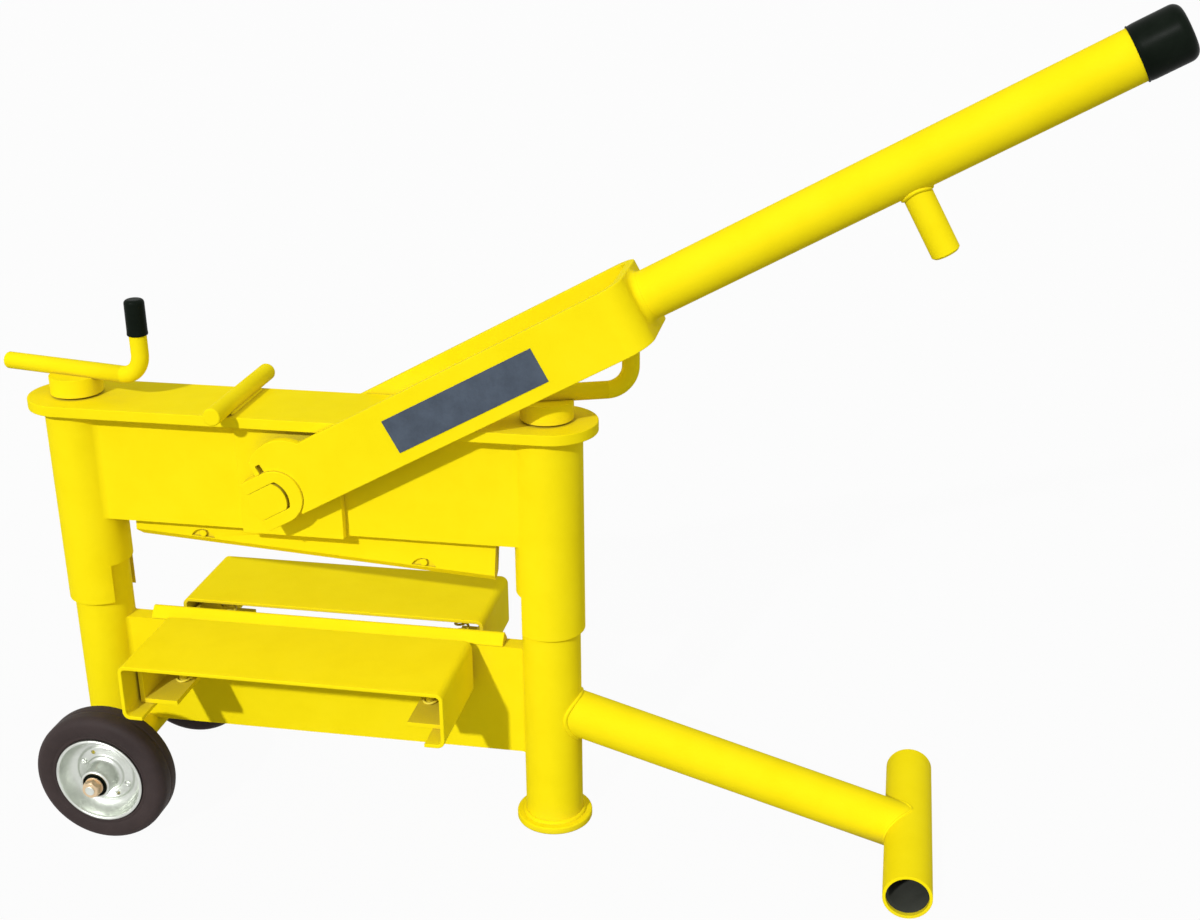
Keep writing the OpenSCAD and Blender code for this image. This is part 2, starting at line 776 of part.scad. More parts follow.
module rim(side) {
    lip_z = wheel_w / 2 + rim_lip;
    inner_r = rim_r - rim_wall;
    bore = axle_d / 2 + fit;
    nose_r = hub_r - hub_chamfer;
    nose_z = hub_half - 1.5 * hub_chamfer;
    web_z = web_t / 2;
    color(zinc) on_wheel(side) difference() {
        rotate_extrude() polygon([
            [bore, -hub_half], [nose_r, -hub_half], [hub_r, -nose_z], [hub_r, -flare_z], [flare_r, -flare_half],
            [web_r, -web_z], [inner_r, -web_z], [inner_r, -lip_z], [rim_r, -lip_z],
            [rim_r, lip_z], [inner_r, lip_z], [inner_r, web_z], [web_r, web_z],
            [flare_r, flare_half], [hub_r, flare_z], [hub_r, nose_z], [nose_r, hub_half], [bore, hub_half]]);
        for (a = concat(rivet_turns, hole_turns)) rotate([0, 0, -a * side]) translate([rivet_r, 0, -web_t])
            cylinder(r = rim_hole_r, h = 2 * web_t);
    }
}

module rim_bolts(side) {
    color(zinc) on_wheel(side) for (a = rivet_turns) rotate([0, 0, -a * side])
        translate([rivet_r, 0, 0]) {
            cylinder(r = rim_hole_r, h = web_t, center = true);
            for (z = [web_t / 2, -web_t / 2 - rim_head_h]) translate([0, 0, z])
                cylinder(r = rim_head_r, h = rim_head_h);
        }
}

left_post();
right_post();
foot_disc();
beam();
lower_blade();
arm(-1, -1);  // front_left_arm
arm(1, -1);  // front_right_arm
arm(-1, 1);  // rear_left_arm
arm(1, 1);  // rear_right_arm
spindle_nut(left_x);  // left_nut
spindle_nut(0);  // right_nut
outrigger_leg();
outrigger_foot();
axle_tube();
axle_rod();
axle_nuts();
top_plate();
side_plate(-1);  // front_plate
side_plate(1);  // rear_plate
sleeve(left_x, 1);  // left_sleeve
sleeve(0, -1);  // right_sleeve
bearing_block(-1);  // front_block
bearing_block(1);  // rear_block
stop_pin();
spindle(left_x);  // left_spindle
crank_hub(left_x, left_crank_turn);  // left_hub
crank_rod(left_x, left_crank_turn);  // left_rod
crank_grip(left_x, left_crank_turn);  // left_grip
spindle(0);  // right_spindle
crank_hub(0, right_crank_turn);  // right_hub
crank_rod(0, right_crank_turn);  // right_rod
crank_grip(0, right_crank_turn);  // right_grip
fork();
jaw(-1);  // front_jaw
jaw(1);  // rear_jaw
cam_shaft();
lever_tube();
end_cap();
rest_peg();
label_plate();
hanger();
tilt_pin();
blade_holder();
upper_blade();
blade_bolts();
table(-1);  // front_table
table(1);  // rear_table
spring(-1, -1);  // front_left_spring
spring(1, -1);  // front_right_spring
spring(-1, 1);  // rear_left_spring
spring(1, 1);  // rear_right_spring
tyre(-1);  // front_tyre
rim(-1);  // front_rim
rim_bolts(-1);  // front_rim_bolts
tyre(1);  // rear_tyre
rim(1);  // rear_rim
rim_bolts(1);  // rear_rim_bolts
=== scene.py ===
"""Looks of the paving stone splitter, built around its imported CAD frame. Metres, +Z up."""
import json
import math
import random

import bmesh
import bpy
from mathutils import Matrix, Vector


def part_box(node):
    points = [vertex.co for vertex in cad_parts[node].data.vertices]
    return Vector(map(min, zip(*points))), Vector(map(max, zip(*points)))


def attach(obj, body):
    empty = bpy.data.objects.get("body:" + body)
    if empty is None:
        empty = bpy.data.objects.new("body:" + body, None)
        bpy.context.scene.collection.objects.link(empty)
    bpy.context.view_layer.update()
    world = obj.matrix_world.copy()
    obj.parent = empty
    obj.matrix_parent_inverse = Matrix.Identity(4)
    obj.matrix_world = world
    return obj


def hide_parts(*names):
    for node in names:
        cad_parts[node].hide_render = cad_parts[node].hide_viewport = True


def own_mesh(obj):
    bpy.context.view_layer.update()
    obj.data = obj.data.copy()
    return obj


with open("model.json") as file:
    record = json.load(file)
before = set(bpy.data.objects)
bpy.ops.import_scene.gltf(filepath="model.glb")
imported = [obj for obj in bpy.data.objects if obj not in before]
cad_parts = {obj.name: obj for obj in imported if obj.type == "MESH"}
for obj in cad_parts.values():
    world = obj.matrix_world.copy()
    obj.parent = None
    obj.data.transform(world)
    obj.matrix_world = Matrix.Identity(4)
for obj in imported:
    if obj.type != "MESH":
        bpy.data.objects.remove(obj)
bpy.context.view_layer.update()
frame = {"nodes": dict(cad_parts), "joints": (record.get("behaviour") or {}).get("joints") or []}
nodes = frame["nodes"]
random.seed(7)
MM = 0.001

# ---------------------------------------------------------------- places read from the frame


def centre(node):
    low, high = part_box(node)
    return (low + high) / 2


def half_width(node):
    """Half of a node's size along X: the radius of a bar that stands upright or points to the front."""
    low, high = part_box(node)
    return (high.x - low.x) / 2


def joint(name):
    return next(j for j in frame["joints"] if j["name"] == name)


PLATE_LOW, PLATE_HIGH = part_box("top_plate")
BEAM_LOW, BEAM_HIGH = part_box("beam")
FRONT_LOW, FRONT_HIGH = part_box("front_plate")
POST_R = half_width("left_post")
SLEEVE_R = half_width("right_sleeve")
TUBE_R = half_width("outrigger_foot")
LEFT_X = centre("left_post").x
FOOT = centre("outrigger_foot")
AXLE = Vector(joint("front_wheel_roll")["pos_m"])
SHAFT = Vector(joint("lever_swing")["pos_m"])

# ---------------------------------------------------------------- sizes that the CAD source has

LEVER_ANGLE = math.radians(28.6)
LEVER = Matrix.Translation(SHAFT) @ Matrix.Rotation(-LEVER_ANGLE, 4, "Y")  # its X runs along the lever
TUBE_RISE = 7.7 * MM
TUBE_LEN = 516 * MM
FORK_LEN = 420 * MM
PEG_U = 685.5 * MM
PEG_R = 13.45 * MM
LEG_START = Vector((0, 0, 134.8 * MM))
LEG_DIR = (Vector((FOOT.x, 0, FOOT.z)) - LEG_START).normalized()

SIDES = (("front", -1), ("rear", 1))
POSTS = (("left", LEFT_X, 1), ("right", 0.0, -1))  # name, place, side that the beam is on
ALONG_X = Vector((1, 0, 0))
ALONG_Y = Vector((0, 1, 0))
ALONG_Z = Vector((0, 0, 1))

# ---------------------------------------------------------------- materials

# Painted shade: hollows that little light reaches turn towards this brown.
PAINTED_SHADE = (0.34, 0.27, 0.075)
PAINTED_SHADE_REACH = 80 * MM
PAINTED_SHADE_SHARE = 0.6
PAINTED_SHADE_OPEN = (0.1, 0.5)  # openness at which the painted shade is full, and at which it ends


def material(name, colour, rough, metallic=0.0, gloss=0.5):
    """A principled material: returns it with its node tree and shader."""
    m = bpy.data.materials.new(name)
    m.use_nodes = True
    shader = m.node_tree.nodes["Principled BSDF"]
    shader.inputs["Base Color"].default_value = (*colour, 1)
    shader.inputs["Roughness"].default_value = rough
    shader.inputs["Metallic"].default_value = metallic
    shader.inputs["Specular IOR Level"].default_value = gloss
    return m, m.node_tree, shader


def coords(tree):
    return tree.nodes.new("ShaderNodeTexCoord").outputs["Object"]


def noise(tree, scale, detail=2.0, rough=0.5, vector=None):
    n = tree.nodes.new("ShaderNodeTexNoise")
    n.inputs["Scale"].default_value = scale
    n.inputs["Detail"].default_value = detail
    n.inputs["Roughness"].default_value = rough
    tree.links.new(vector or coords(tree), n.inputs["Vector"])
    return n.outputs["Fac"]


def stretched(tree, scale):
    """Object coordinates stretched along the axes, for brushed or drawn metal."""
    m = tree.nodes.new("ShaderNodeMapping")
    m.inputs["Scale"].default_value = scale
    tree.links.new(coords(tree), m.inputs["Vector"])
    return m.outputs["Vector"]


def ramp(tree, value, stops):
    r = tree.nodes.new("ShaderNodeValToRGB")
    while len(r.color_ramp.elements) < len(stops):
        r.color_ramp.elements.new(0.5)
    for element, (place, colour) in zip(r.color_ramp.elements, stops):
        element.position = place
        element.color = (*colour, 1) if len(colour) == 3 else colour
    tree.links.new(value, r.inputs["Fac"])
    return r.outputs["Color"]


def span(tree, value, low, high):
    """Maps a value from 0..1 to low..high."""
    m = tree.nodes.new("ShaderNodeMapRange")
    m.inputs["To Min"].default_value = low
    m.inputs["To Max"].default_value = high
    tree.links.new(value, m.inputs["Value"])
    return m.outputs["Result"]


def bump(tree, shader, heights):
    """Chains bumps: each is (value, strength, distance)."""
    last = None
    for value, strength, distance in heights:
        b = tree.nodes.new("ShaderNodeBump")
        b.inputs["Strength"].default_value = strength
        b.inputs["Distance"].default_value = distance
        tree.links.new(value, b.inputs["Height"])
        if last:
            tree.links.new(last, b.inputs["Normal"])
        last = b.outputs["Normal"]
    tree.links.new(last, shader.inputs["Normal"])


def with_painted_shade(tree, colour):
    """A colour that turns towards a painted brown shade in the recesses, where little light reaches."""
    hollow = tree.nodes.new("ShaderNodeAmbientOcclusion")
    hollow.samples = 4
    hollow.inputs["Distance"].default_value = PAINTED_SHADE_REACH
    mix = tree.nodes.new("ShaderNodeMix")
    mix.data_type = "RGBA"
    reach = tree.nodes.new("ShaderNodeMapRange")
    reach.inputs["From Min"].default_value = PAINTED_SHADE_OPEN[0]
    reach.inputs["From Max"].default_value = PAINTED_SHADE_OPEN[1]
    reach.inputs["To Min"].default_value = PAINTED_SHADE_SHARE
    reach.inputs["To Max"].default_value = 0.0
    tree.links.new(hollow.outputs["AO"], reach.inputs["Value"])
    tree.links.new(reach.outputs["Result"], mix.inputs["Factor"])
    tree.links.new(colour, mix.inputs["A"])
    mix.inputs["B"].default_value = (*PAINTED_SHADE, 1)
    return mix.outputs["Result"]


def paint():
    """Yellow powder coat: orange peel, a faint mottle and slightly uneven gloss."""
    m, tree, shader = material("yellow_powder_coat", (0.94, 0.79, 0.005), 0.55, gloss=0.015)
    mottle = ramp(tree, noise(tree, 22, 4, 0.6), [
        (0.30, (0.925, 0.750, 0.005)), (0.55, (0.950, 0.777, 0.0065)), (0.8, (0.960, 0.787, 0.0085))])
    # The mottled colour takes painted shade in the hollows.
    tree.links.new(with_painted_shade(tree, mottle), shader.inputs["Base Color"])
    tree.links.new(span(tree, noise(tree, 90, 3), 0.48, 0.66), shader.inputs["Roughness"])
    bump(tree, shader, [(noise(tree, 420, 2, 0.55), 0.16, 0.0006), (noise(tree, 60, 2), 0.10, 0.0012)])
    return m


def rubber(name, colour, rough, grain, strength, gloss):
    m, tree, shader = material(name, colour, rough, gloss=gloss)
    bright = tuple(c * 1.4 + 0.003 for c in colour)
    tree.links.new(ramp(tree, noise(tree, 35, 5, 0.65), [(0.35, colour), (0.75, bright)]),
                   shader.inputs["Base Color"])
    tree.links.new(span(tree, noise(tree, 70, 3), rough - 0.08, rough + 0.12), shader.inputs["Roughness"])
    bump(tree, shader, [(noise(tree, grain, 3, 0.6), strength, 0.0004)])
    return m


def metal(name, colour, rough, grain=(300, 300, 300), strength=0.1, tint=0.12):
    m, tree, shader = material(name, colour, rough, metallic=1.0)
    dark = tuple(c * (1 - tint) for c in colour)
    tree.links.new(ramp(tree, noise(tree, 40, 4, 0.6), [(0.3, dark), (0.7, colour)]),
                   shader.inputs["Base Color"])
    scratch = noise(tree, 1, 3, 0.6, stretched(tree, grain))
    tree.links.new(span(tree, scratch, rough * 0.7, rough * 1.5), shader.inputs["Roughness"])
    bump(tree, shader, [(scratch, strength, 0.0003)])
    return m


def slate_film():
    m, tree, shader = material("slate_film", (0.045, 0.065, 0.095), 0.42)
    tree.links.new(ramp(tree, noise(tree, 55, 5, 0.7), [
        (0.35, (0.036, 0.052, 0.078)), (0.7, (0.058, 0.08, 0.115))]), shader.inputs["Base Color"])
    tree.links.new(span(tree, noise(tree, 260, 3), 0.34, 0.52), shader.inputs["Roughness"])
    bump(tree, shader, [(noise(tree, 500, 2), 0.06, 0.0003)])
    return m


def spring_paint():
    """Thin yellow paint on wire, paler where it wears."""
    m, tree, shader = material("spring_wire", (0.84, 0.70, 0.05), 0.4, gloss=0.25)
    tree.links.new(ramp(tree, noise(tree, 60, 4, 0.6), [
        (0.35, (0.80, 0.66, 0.035)), (0.7, (0.86, 0.75, 0.10))]), shader.inputs["Base Color"])
    tree.links.new(span(tree, noise(tree, 200, 2), 0.32, 0.5), shader.inputs["Roughness"])
    bump(tree, shader, [(noise(tree, 700, 2), 0.08, 0.0002)])
    return m


PAINT = paint()
TYRE = rubber("tyre_rubber", (0.032, 0.022, 0.021), 0.66, 900, 0.25, 0.2)
CAP = rubber("cap_rubber", (0.0035, 0.006, 0.0035), 0.36, 350, 0.05, 0.03)
STEEL = metal("oiled_steel", (0.45, 0.45, 0.44), 0.34, (40, 40, 400))
SPRING = spring_paint()
ZINC = metal("zinc_plate", (0.77, 0.80, 0.74), 0.33, (260, 260, 260), 0.06, 0.25)
COPPER = metal("yellow_zinc", (0.78, 0.60, 0.39), 0.46, (400, 400, 400), 0.08, 0.2)
SLATE = slate_film()
# A dark sheet that paints the shade inside the foot's bore.
BORE_SHADE = rubber("bore_painted_shade", (0.030, 0.032, 0.026), 0.7, 260, 0.2, 0.1)

# ---------------------------------------------------------------- mesh helpers

ROUND_STEPS = 96


def finish_piece(obj, body, mat, replaced=()):
    obj.data.materials.append(mat)
    for p in obj.data.polygons:
        p.use_smooth = True
    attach(obj, body)
    if replaced:
        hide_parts(*replaced)
    return obj


def painted(obj, body):
    return finish_piece(obj, body, PAINT)


def mesh_object(name, verts, faces, matrix=None):
    data = bpy.data.meshes.new(name)
    data.from_pydata([tuple(v) for v in verts], [], faces)
    if matrix:
        data.transform(matrix)
    bm = bmesh.new()
    bm.from_mesh(data)
    bmesh.ops.recalc_face_normals(bm, faces=bm.faces)
    bm.to_mesh(data)
    bm.free()
    obj = bpy.data.objects.new(name, data)
    bpy.context.scene.collection.objects.link(obj)
    return obj


def crisp(obj, width, angle=35):
    """Rounded edges: a bevel with normals that keep flat faces flat."""
    b = obj.modifiers.new("edge", "BEVEL")
    b.width = width
    b.segments = 2
    b.limit_method = "ANGLE"
    b.angle_limit = math.radians(angle)
    b.miter_outer = "MITER_ARC"
    b.use_clamp_overlap = True
    n = obj.modifiers.new("normals", "WEIGHTED_NORMAL")
    n.keep_sharp = False
    n.weight = 80


def arc(cx, cy, r, start, end, steps=8):
    """Points on an arc, in degrees."""
    return [(cx + r * math.cos(math.radians(start + (end - start) * i / steps)),
             cy + r * math.sin(math.radians(start + (end - start) * i / steps))) for i in range(steps + 1)]


def lathe(name, profile, matrix, steps=ROUND_STEPS):
    """Turns a closed (radius, height) outline in mm about Z. Radius 0 makes a pole."""
    verts, rings = [], []
    for r, z in profile:
        if r < 1e-6:
            rings.append([len(verts)])
            verts.append((0, 0, z * MM))
            continue
        ring = []
        for i in range(steps):
            a = 2 * math.pi * i / steps
            ring.append(len(verts))
            verts.append((r * MM * math.cos(a), r * MM * math.sin(a), z * MM))
        rings.append(ring)
    faces = []
    closed = profile[0][0] > 1e-6 and profile[-1][0] > 1e-6
    for a, b in zip(rings, rings[1:] + rings[:1] if closed else rings[1:]):
        for i in range(steps):
            j = (i + 1) % steps
            if len(a) == 1:
                faces.append((a[0], b[i], b[j]))
            elif len(b) == 1:
                faces.append((a[i], a[j], b[0]))
            else:
                faces.append((a[i], a[j], b[j], b[i]))
    return mesh_object(name, verts, faces, matrix)


def resample(points, step, closed):
    """The same path with points at even steps."""
    pts = [Vector(p) for p in points]
    if closed:
        pts.append(pts[0])
    lengths = [0.0]
    for a, b in zip(pts, pts[1:]):
        lengths.append(lengths[-1] + (b - a).length)
    count = max(3, round(lengths[-1] / step))
    out, k = [], 0
    for i in range(count if closed else count + 1):
        s = lengths[-1] * i / count
        while k < len(pts) - 2 and lengths[k + 1] < s:
            k += 1
        gap = lengths[k + 1] - lengths[k]
        out.append(pts[k].lerp(pts[k + 1], (s - lengths[k]) / gap if gap else 0))
    return out


def sweep(name, points, radius, closed=False):
    """A round bar along points. radius is a number or a function of the point's index."""
    n = len(points)
    sides = 10
    verts, faces = [], []
    up = None
    for i, p in enumerate(points):
        if closed:
            t = points[(i + 1) % n] - points[i - 1]
        else:
            t = points[min(i + 1, n - 1)] - points[max(i - 1, 0)]
        t.normalize()
        if up is None:
            up = t.orthogonal().normalized()
        up = (up - t * up.dot(t)).normalized()
        side = t.cross(up)
        r = radius(i) if callable(radius) else radius
        for k in range(sides):
            a = 2 * math.pi * k / sides
            verts.append(p + (up * math.cos(a) + side * math.sin(a)) * r)
    loops = n if closed else n - 1
    for i in range(loops):
        j = (i + 1) % n
        for k in range(sides):
            m = (k + 1) % sides
            faces.append((i * sides + k, j * sides + k, j * sides + m, i * sides + m))
    if not closed:
        faces.append(tuple(range(sides)))
        faces.append(tuple((n - 1) * sides + k for k in range(sides)))
    return mesh_object(name, verts, faces)


def weld(name, points, size, body, closed=False):
    """A painted weld bead: a round bar with the ripples of its run, sunk half into the corner."""
    step = 1.0 * MM
    ripple = 2.6 * MM
    drift_run = 6
    fade = 8
    path = resample(points, step, closed)
    n = len(path)
    drift = [random.uniform(-1, 1) for _ in range(n // drift_run + 3)]

    def radius(i):
        phase = (i * step / ripple) % 1.0
        k = i // drift_run
        slow = drift[k] + (drift[k + 1] - drift[k]) * (i % drift_run) / drift_run
        if closed:
            slow *= min(1.0, i / fade, (n - i) / fade)
            end = 1.0
        else:
            end = min(1.0, math.sqrt((min(i, n - 1 - i) + 0.4) / 4))
        return size * end * (1 + 0.05 * (phase - 0.5) + 0.06 * slow)

    return painted(sweep(name, path, radius, closed), body)


def fillet(name, x, sign, side, bar_r, face_y, rho, low, high, body):
    """The smooth seam between an upright round bar at x and a flat face at |y| = face_y."""
    reach = math.sqrt((bar_r + rho) ** 2 - (face_y + rho) ** 2)
    start = math.atan2(face_y + rho, reach)
    sunk_rho = rho + 0.04 * MM
    steps = 12
    outline = []
    for i in range(steps + 1):
        a = start + (math.pi / 2 - start) * i / steps
        outline.append((reach - sunk_rho * math.cos(a), face_y + rho - sunk_rho * math.sin(a)))
    corner = math.sqrt(bar_r ** 2 - face_y ** 2)
    inside = face_y - 1.0 * MM
    outline.append((reach - rho * 0.6, inside))
    outline.append((corner - 1.4 * MM, inside))
    verts = [Vector((x + sign * u, side * v, z)) for z in (low, high) for u, v in outline]
    n = len(outline)
    faces = [(i, (i + 1) % n, n + (i + 1) % n, n + i) for i in range(n)]
    faces += [tuple(range(n)), tuple(range(n, 2 * n))]
    obj = mesh_object(name, verts, faces)
    keep_creases(obj, 25)
    return painted(obj, body)


def keep_creases(obj, angle):
    """Marks the edges that bend by more than an angle, so that the faces beside them stay flat."""
    bm = bmesh.new()
    bm.from_mesh(obj.data)
    for e in bm.edges:
        if len(e.link_faces) == 2 and e.calc_face_angle() > math.radians(angle):
            e.smooth = False
    bm.to_mesh(obj.data)
    bm.free()


def circle(middle, r):
    """Points on a level circle."""
    turns = [2 * math.pi * i / ROUND_STEPS for i in range(ROUND_STEPS)]
    return [middle + Vector((r * math.cos(a), r * math.sin(a), 0)) for a in turns]


def tube_meets_tube(origin, direction, r, axis_point, axis_dir, big_r, side=1):
    """The curve where a tube of radius r along direction runs into a round bar of radius big_r."""
    e1 = direction.orthogonal().normalized()
    e2 = direction.cross(e1)
    out = []
    for i in range(ROUND_STEPS):
        a = 2 * math.pi * i / ROUND_STEPS
        start = origin + (e1 * math.cos(a) + e2 * math.sin(a)) * r
        w = start - axis_point
        w -= axis_dir * w.dot(axis_dir)
        d = direction - axis_dir * direction.dot(axis_dir)
        qa, qb, qc = d.dot(d), 2 * w.dot(d), w.dot(w) - big_r ** 2
        root = math.sqrt(max(0.0, qb * qb - 4 * qa * qc))
        out.append(start + direction * ((-qb + side * root) / (2 * qa)))
    return out


# ---------------------------------------------------------------- CAD nodes that stay

# material, width of the rounded edges, nodes
KEPT = (
    (PAINT, 0.8 * MM, ("top_plate", "front_block", "rear_block", "front_table", "rear_table", "fork",
                       "front_jaw", "rear_jaw", "beam", "front_plate", "rear_plate", "blade_holder",
                       "upper_blade", "lower_blade", "front_left_arm", "front_right_arm", "rear_left_arm",
                       "rear_right_arm", "blade_bolts", "cam_shaft")),
    (PAINT, 0.5 * MM, ("left_sleeve", "right_sleeve", "left_post", "right_post", "outrigger_foot",
                       "outrigger_leg", "axle_tube", "lever_tube")),
    (PAINT, 1.6 * MM, ("stop_pin", "foot_disc", "left_hub", "right_hub", "left_rod", "right_rod",
                       "rest_peg")),
    (SLATE, 0.15 * MM, ("label_plate",)),
    (STEEL, 0.4 * MM, ("left_nut", "right_nut", "left_spindle", "right_spindle", "hanger", "tilt_pin")),
    (ZINC, 0.6 * MM, ("axle_rod",)),
)


def dress(node, mat, width):
    """Material, merged seams, whole flat faces and rounded edges for a CAD node that is shown."""
    obj = nodes[node]
    obj.data.materials.clear()
    obj.data.materials.append(mat)
    for p in obj.data.polygons:
        p.use_smooth = True
        p.material_index = 0
    merge = obj.modifiers.new("merge", "WELD")
    merge.merge_threshold = 0.02 * MM
    flat = obj.modifiers.new("flat", "DECIMATE")
    flat.decimate_type = "DISSOLVE"
    flat.angle_limit = math.radians(0.5)
    crisp(obj, width)


for mat, edge, names in KEPT:
    for name in names:
        dress(name, mat, edge)

# ---------------------------------------------------------------- welds

TUBE_FILLET = 5.8
BEAM_FILLET = 6 * MM
PLATE_FILLET = 12 * MM
OVER_AXLE = 18 * MM  # the beam's left seams start above the axle tube
ARM_INSET = 3 * MM
STOP_INSET = 6 * MM
STOP_BESIDE = 6.2 * MM


def frame_welds():
    """The foot disc, the outrigger, the beam and the arms."""
    disc_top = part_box("foot_disc")[1].z
    weld("foot_weld", circle(Vector((0, 0, disc_top + 0.6 * MM)), POST_R + 0.8 * MM), 2.6 * MM, "frame", True)
    at_post = tube_meets_tube(LEG_START, LEG_DIR, TUBE_R + 0.2 * MM,
                              Vector((0, 0, 0)), ALONG_Z, POST_R + 0.2 * MM)
    weld("leg_weld_post", at_post, 2.2 * MM, "frame", True)
    at_foot = tube_meets_tube(LEG_START, LEG_DIR, TUBE_R - 0.4 * MM,
                              FOOT, ALONG_Y, TUBE_R + 0.2 * MM, side=-1)
    weld("leg_weld_foot", at_foot, 1.5 * MM, "frame", True)
    half = BEAM_HIGH.y
    for label, x, sign in POSTS:
        low = BEAM_LOW.z + (OVER_AXLE if label == "left" else 0)
        for face, side in SIDES:
            fillet(f"beam_weld_{label}_{face}", x, sign, side, POST_R, half, BEAM_FILLET,
                   low, BEAM_HIGH.z - 0.3 * MM, "frame")
    for face, side in SIDES:
        for label in ("left", "right"):
            low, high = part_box(f"{face}_{label}_arm")
            y = side * (half + 0.8 * MM)
            z = low.z - 0.6 * MM
            run = [Vector((low.x + ARM_INSET, y, z)), Vector((high.x - ARM_INSET, y, z))]
            weld(f"{face}_{label}_arm_weld", run, 2.0 * MM, "frame")


def yoke_welds():
    """The sleeves and the stop pin."""
    for label, x, sign in POSTS:
        for face, side in SIDES:
            fillet(f"plate_weld_{label}_{face}", x, sign, side, SLEEVE_R, abs(FRONT_LOW.y), PLATE_FILLET,
                   FRONT_LOW.z + 0.3 * MM, FRONT_HIGH.z - 0.1 * MM, "yoke")
        weld(f"sleeve_weld_{label}", circle(Vector((x, 0, PLATE_LOW.z - 0.6 * MM)), SLEEVE_R + 0.4 * MM),
             1.8 * MM, "yoke", True)
    pin = centre("stop_pin")
    half = PLATE_HIGH.y - STOP_INSET
    z = PLATE_HIGH.z + 1.2 * MM
    for label, side in (("left", -1), ("right", 1)):
        x = pin.x + side * STOP_BESIDE
        weld(f"stop_weld_{label}", [Vector((x, -half, z)), Vector((x, half, z))], 2.2 * MM, "yoke")


def lever_welds():
    """A smooth ring where the tube meets the fork, and a bead round the peg."""
    tube_root = LEVER @ Matrix.Translation((FORK_LEN, 0, TUBE_RISE)) @ Matrix.Rotation(math.pi / 2, 4, "Y")
    r = TUBE_R / MM
    sunk = 0.3
    profile = [(r - sunk, -sunk), (r - sunk, TUBE_FILLET)]
    profile += arc(r + TUBE_FILLET, TUBE_FILLET, TUBE_FILLET, 180, 270, 12)
    profile += [(r + TUBE_FILLET, -sunk)]
    painted(lathe("tube_weld", profile, tube_root), "lever")
    round_peg = tube_meets_tube(Vector((PEG_U, 0, -50 * MM)), ALONG_Z, PEG_R + 0.5 * MM,
                                Vector((0, 0, TUBE_RISE)), ALONG_X, TUBE_R + 0.4 * MM, side=-1)
    weld("peg_weld", [LEVER @ p for p in round_peg], 2.0 * MM, "lever", True)


frame_welds()
yoke_welds()
lever_welds()

# ---------------------------------------------------------------- foot's bore, painted shade

FOOT_WALL = 3.2
FOOT_MOUTH = 5.0


def foot_bore_shade():
    """A dark sheet in the outrigger's foot, behind its painted mouths: painted shade in the deep bore."""
    low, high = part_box("outrigger_foot")
    outer = (high.z - low.z) / 2 / MM - FOOT_WALL - 0.08
    inner = outer - 0.5
    half = (high.y - low.y) / 2 / MM - FOOT_MOUTH
    obj = lathe("foot_bore_shade", [(outer, -half), (outer, half), (inner, half), (inner, -half)],
                Matrix.Translation(FOOT) @ Matrix.Rotation(math.pi / 2, 4, "X"))
    finish_piece(obj, "frame", BORE_SHADE)


foot_bore_shade()

# ---------------------------------------------------------------- cap and grips

CAP_LEN = 46.0
CAP_PAST = 6.0


def end_cap():
    """Dipped rubber cap with a full round end and a thin rolled mouth."""
    mouth = FORK_LEN + TUBE_LEN + (CAP_PAST - CAP_LEN) * MM
    outer, inner, length, round_r = 25.5, 24.2, CAP_LEN, 9.0
    profile = [(inner, 0.0), (outer - 0.1, 0.0)] + arc(outer - 0.6, 0.9, 0.75, -30, 90, 4)
    profile += [(outer - 0.35, 2.4), (outer, 6.0), (outer, length - round_r - 4)]
    profile += arc(outer - round_r, length - round_r, round_r, 0, 90, 10)
    profile += [(8.0, length), (0.0, length)]
    profile = [(0.0, length - 5.5), (inner - 1.0, length - 5.5), (inner, length - 7)] + profile
    place = LEVER @ Matrix.Translation((mouth, 0, TUBE_RISE)) @ Matrix.Rotation(math.pi / 2, 4, "Y")
    obj = lathe("end_cap_skin", profile, place)
    finish_piece(obj, "lever", CAP, ["end_cap"])


def crank_grip(label):
    """Smooth moulded grip with a domed end and a rounded mouth."""
    low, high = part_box(f"{label}_grip")
    mid = (low + high) / 2
    outer = (high.x - low.x) / 2 / MM
    length = (high.z - low.z) / MM
    bore = outer - 1.45
    dome = 4.0
    lip = 1.6
    profile = [(0.0, length - 6.0), (bore - 0.3, length - 6.0), (bore, length - 7.0), (bore, 0.4)]
    profile += arc(outer - lip + 0.2, lip, lip, -90, 0, 6)
    profile += [(outer + 0.15, lip + 1.0), (outer - 0.05, lip + 3.0), (outer - 0.15, length - dome - 1.0)]
    profile += arc(outer - dome - 0.15, length - dome, dome, 0, 90, 8) + [(3.0, length), (0.0, length)]
    obj = lathe(f"{label}_grip_skin", profile, Matrix.Translation((mid.x, mid.y, low.z)), 72)
    finish_piece(obj, f"{label}_crank", CAP, [f"{label}_grip"])


end_cap()
for label in ("left", "right"):
    crank_grip(label)

# ---------------------------------------------------------------- wheels

TYRE_LOW, TYRE_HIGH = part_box("front_tyre")
TYRE_R = (TYRE_HIGH.z - TYRE_LOW.z) / 2 / MM
TYRE_HALF = (TYRE_HIGH.y - TYRE_LOW.y) / 2 / MM
RIM_R = 47.0
HUB_HALF = TYRE_HALF + 9.0
RIVET_R = 26.0
RIVET_TURNS = (155, 335)
HOLE_TURNS = (115, 295)
HOLE_R = 2.4
WEB_Z = 2.6
WASHER_T = 2.0
NUT_T = 8.0
NUT_R = 9.6
NUT_TURN = 0.35


def on_axle(side, y):
    """A place on the axle, with Z pointing out of the machine."""
    return Matrix.Translation((AXLE.x, side * y, AXLE.z)) @ Matrix.Rotation(-side * math.pi / 2, 4, "X")


def on_wheel(side):
    return on_axle(side, abs(AXLE.y))


